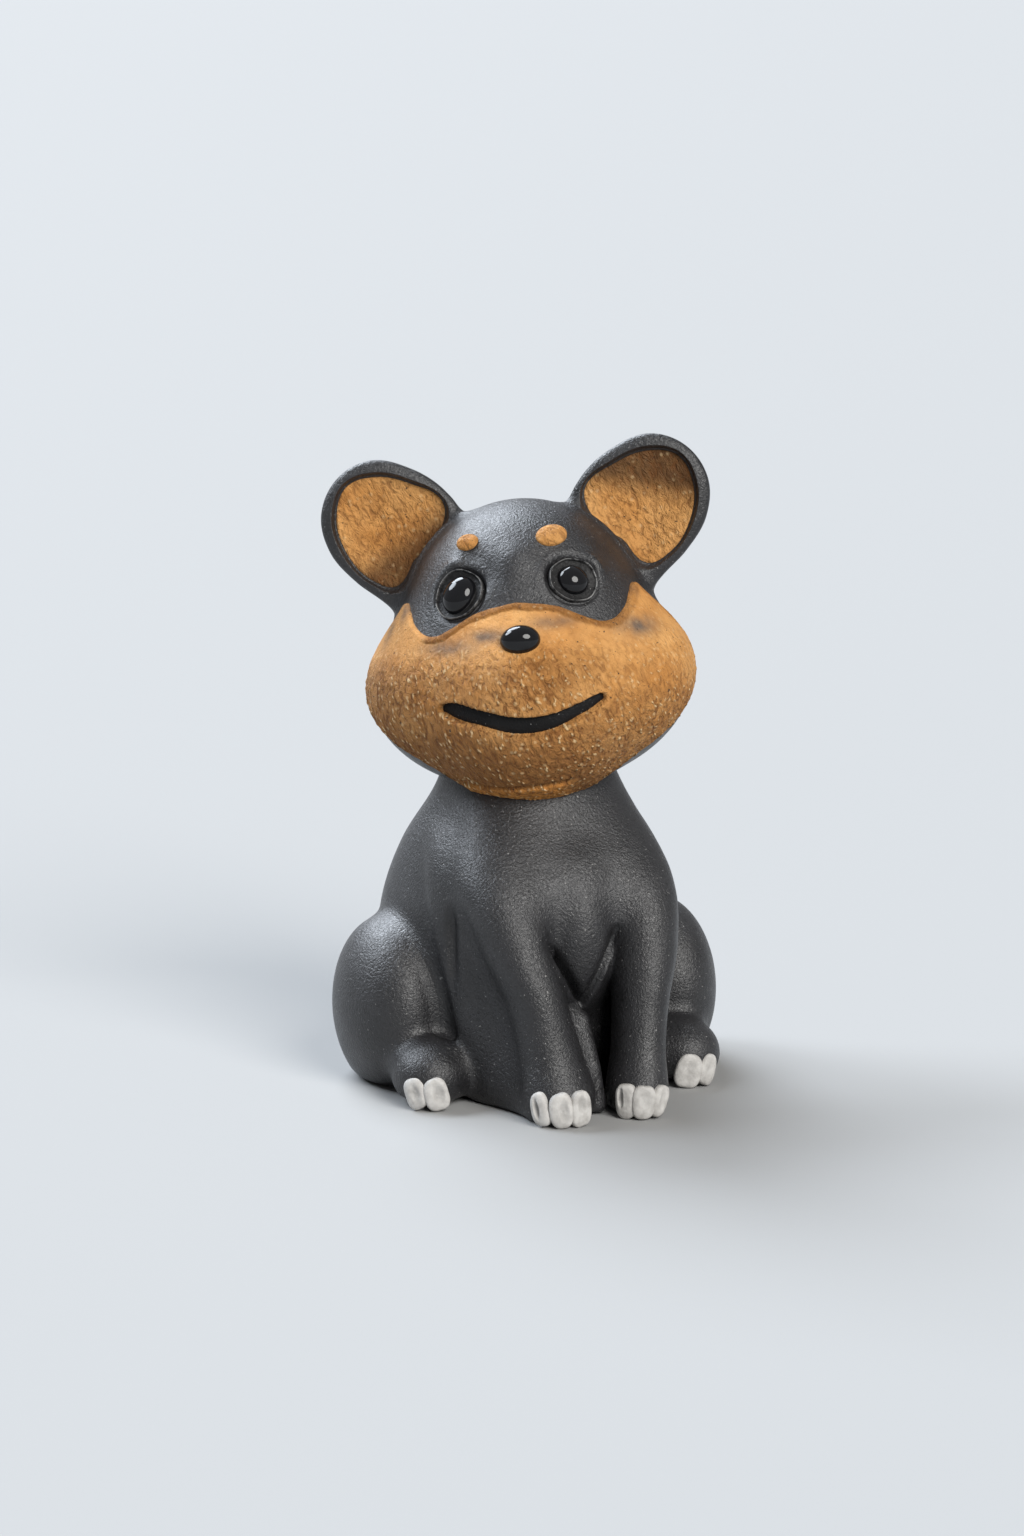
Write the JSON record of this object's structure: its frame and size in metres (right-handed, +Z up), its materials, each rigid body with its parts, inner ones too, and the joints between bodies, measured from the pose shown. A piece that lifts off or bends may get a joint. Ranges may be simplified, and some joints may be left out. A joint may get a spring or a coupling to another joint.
{
  "type": "clay tea pet",
  "caption": "Small clay puppy with a hollow body that sits upright, with a turned and tilted head, an ochre face and ear linings, white claws and glossy eyes and nose.",
  "frame": {"origin": "middle of the footprint's box, on the surface that the pet stands on", "axes": "+Z up, -Y the way the body faces, +X towards the puppy's own left side"},
  "size_m": [0.0488, 0.0506, 0.0791],
  "materials": {
    "black_clay": "unglazed fired black clay, fine grained, matt with a faint satin",
    "ochre_clay": "unglazed ochre clay slip, dry and sandy",
    "white_clay": "unglazed white clay, pressed on by hand",
    "black_glaze": "glossy black"
  },
  "bodies": {
    "root": {"body_shell": "black_clay", "brow_left": "ochre_clay", "brow_right": "ochre_clay", "ear_left": "black_clay", "ear_lining_left": "ochre_clay", "ear_lining_right": "ochre_clay", "ear_right": "black_clay", "eye_bead_left": "black_glaze", "eye_bead_right": "black_glaze", "eye_ring_left": "black_clay", "eye_ring_right": "black_clay", "face_coat": "ochre_clay", "fore_claw_left_1": "white_clay", "fore_claw_left_2": "white_clay", "fore_claw_left_3": "white_clay", "fore_claw_right_1": "white_clay", "fore_claw_right_2": "white_clay", "fore_claw_right_3": "white_clay", "foreleg_left": "black_clay", "foreleg_right": "black_clay", "haunch_left": "black_clay", "haunch_right": "black_clay", "head": "black_clay", "hind_claw_left_1": "white_clay", "hind_claw_left_2": "white_clay", "hind_claw_right_1": "white_clay", "hind_claw_right_2": "white_clay", "hind_foot_left": "black_clay", "hind_foot_right": "black_clay", "mouth_inlay": "black_clay", "nose_bead": "black_glaze", "tail": "black_clay"}
  },
  "joints": []
}
